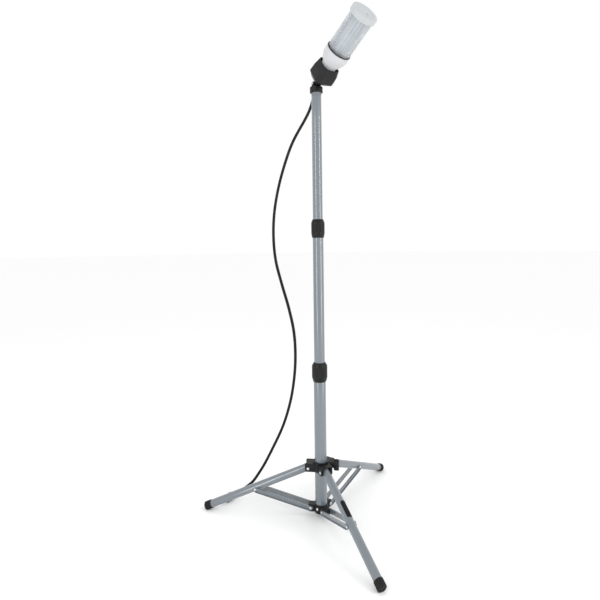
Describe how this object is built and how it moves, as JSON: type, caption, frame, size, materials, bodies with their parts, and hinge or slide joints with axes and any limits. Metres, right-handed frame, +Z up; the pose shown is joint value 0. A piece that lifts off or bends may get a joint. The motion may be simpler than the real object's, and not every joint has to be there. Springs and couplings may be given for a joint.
{
  "type": "work light",
  "caption": "Tripod work light: a screw-in LED lamp in a tilting housing on a telescoping mast with twist-lock collars, on folding braced legs under a sliding clamp hub.",
  "frame": {"origin": "on the floor, at the centre of the footprint of the three feet", "axes": "+Z up along the mast; one leg points along -X, the clamp knob faces +X"},
  "size_m": [0.532, 0.6108, 1.4105],
  "materials": {
    "grey_powder_coat": "smooth grey powder coat",
    "grey_plastic": "moulded grey nylon",
    "black_plastic": "moulded black nylon, satin",
    "black_rubber": "matt moulded rubber",
    "bright_steel": "bright zinc-plated steel",
    "white_plastic": "moulded white polycarbonate",
    "frosted_plastic": "frosted polycarbonate",
    "clear_plastic": "clear ribbed polycarbonate",
    "aluminium": "satin",
    "brass": "plain",
    "circuit_board": "green solder mask"
  },
  "bodies": {
    "base": {"lower_tube": "grey_powder_coat", "lower_hub": "black_plastic", "hub_rivet": "bright_steel", "lower_ferrule": "black_plastic", "lower_brace_pin_1": "bright_steel", "lower_brace_pin_2": "bright_steel", "lower_brace_pin_3": "bright_steel", "cord_lower": "black_rubber", "plug": "black_rubber"},
    "lower_collar": {"lower_collar": "black_plastic"},
    "middle_tube": {"middle_tube": "grey_powder_coat", "middle_tube_guide": "black_plastic", "upper_ferrule": "black_plastic", "cord_upper": "black_rubber"},
    "upper_collar": {"upper_collar": "black_plastic"},
    "top_tube": {"top_tube": "grey_powder_coat", "top_tube_guide": "black_plastic", "cap_bushing": "grey_plastic", "mast_cap": "black_plastic", "cord_gland": "black_rubber", "tilt_bolt": "bright_steel", "tilt_nut": "bright_steel"},
    "head": {"housing_left": "black_plastic", "housing_right": "black_plastic", "housing_screw_1": "bright_steel", "housing_screw_2": "bright_steel", "lampholder": "white_plastic", "holder_thread_shell": "brass"},
    "lamp": {"lamp_base_shell": "aluminium", "lamp_base_contact": "brass", "lamp_neck": "white_plastic", "driver_board": "circuit_board", "cover_gasket": "black_rubber", "lamp_cover": "clear_plastic", "led_carrier": "aluminium", "end_cap": "frosted_plastic", "end_cap_screw": "bright_steel"},
    "hub": {"upper_hub": "black_plastic", "clamp_nut": "bright_steel", "leg_rivet_1": "bright_steel", "leg_rivet_2": "bright_steel", "leg_rivet_3": "bright_steel"},
    "knob": {"clamp_knob": "black_plastic", "clamp_stud": "bright_steel"},
    "leg_1": {"leg_tube_1": "grey_powder_coat", "foot_1": "black_rubber", "brace_rivet_1": "bright_steel"},
    "braces_1": {"brace_left_1": "grey_powder_coat", "brace_right_1": "grey_powder_coat"},
    "leg_2": {"leg_tube_2": "grey_powder_coat", "foot_2": "black_rubber", "brace_rivet_2": "bright_steel"},
    "braces_2": {"brace_left_2": "grey_powder_coat", "brace_right_2": "grey_powder_coat"},
    "leg_3": {"leg_tube_3": "grey_powder_coat", "foot_3": "black_rubber", "brace_rivet_3": "bright_steel"},
    "braces_3": {"brace_left_3": "grey_powder_coat", "brace_right_3": "grey_powder_coat"}
  },
  "joints": [
    {"name": "lower_twist", "type": "hinge", "parent": "base", "child": "lower_collar", "pos_m": [0.0836, 0, 0.415], "axis": [0, 0, 1], "range_deg": [0, 90]},
    {"name": "middle_slide", "type": "slide", "parent": "base", "child": "middle_tube", "axis": [0, 0, 1], "range_m": [-0.3, 0], "deforming": ["cord_lower"]},
    {"name": "upper_twist", "type": "hinge", "parent": "middle_tube", "child": "upper_collar", "pos_m": [0.0836, 0, 0.83], "axis": [0, 0, 1], "range_deg": [0, 90]},
    {"name": "top_slide", "type": "slide", "parent": "middle_tube", "child": "top_tube", "axis": [0, 0, 1], "range_m": [-0.355, 0], "deforming": ["cord_upper"]},
    {"name": "head_tilt", "type": "hinge", "parent": "top_tube", "child": "head", "pos_m": [0.0836, 0, 1.2473], "axis": [0.7096, 0.7046, 0], "range_deg": [-105, 2]},
    {"name": "lamp_unscrew", "type": "hinge", "parent": "head", "child": "lamp", "pos_m": [0.0836, 0, 1.2473], "axis": [0.5956, -0.5998, 0.5344], "range_deg": [0, 360]},
    {"name": "hub_slide", "type": "slide", "parent": "base", "child": "hub", "axis": [0, 0, 1], "range_m": [0, 0.2249]},
    {"name": "knob_turn", "type": "hinge", "parent": "hub", "child": "knob", "pos_m": [0.0836, 0, 0.1475], "axis": [1, 0, 0], "range_deg": [0, 360]},
    {"name": "leg_1_fold", "type": "hinge", "parent": "hub", "child": "leg_1", "pos_m": [0.0486, 0, 0.14], "axis": [0, -1, 0], "range_deg": [0, 64.07]},
    {"name": "braces_1_fold", "type": "hinge", "parent": "leg_1", "child": "braces_1", "pos_m": [-0.10864, 0, 0.07024], "axis": [0, -1, 0], "range_deg": [-134.75, 0]},
    {"name": "leg_2_fold", "type": "hinge", "parent": "hub", "child": "leg_2", "pos_m": [0.1011, 0.03031, 0.14], "axis": [-0.866, 0.5, 0], "range_deg": [0, 64.07]},
    {"name": "braces_2_fold", "type": "hinge", "parent": "leg_2", "child": "braces_2", "pos_m": [0.17972, 0.16649, 0.07024], "axis": [-0.866, 0.5, 0], "range_deg": [-134.75, 0]},
    {"name": "leg_3_fold", "type": "hinge", "parent": "hub", "child": "leg_3", "pos_m": [0.1011, -0.03031, 0.14], "axis": [0.866, 0.5, 0], "range_deg": [0, 64.07]},
    {"name": "braces_3_fold", "type": "hinge", "parent": "leg_3", "child": "braces_3", "pos_m": [0.17972, -0.16649, 0.07024], "axis": [0.866, 0.5, 0], "range_deg": [-134.75, 0]}
  ],
  "couplings": [
    {"joint": "leg_1_fold", "follows": "hub_slide", "rad_per_m": 4.9724},
    {"joint": "braces_1_fold", "follows": "hub_slide", "rad_per_m": -10.457},
    {"joint": "leg_2_fold", "follows": "hub_slide", "rad_per_m": 4.9724},
    {"joint": "braces_2_fold", "follows": "hub_slide", "rad_per_m": -10.457},
    {"joint": "leg_3_fold", "follows": "hub_slide", "rad_per_m": 4.9724},
    {"joint": "braces_3_fold", "follows": "hub_slide", "rad_per_m": -10.457}
  ]
}
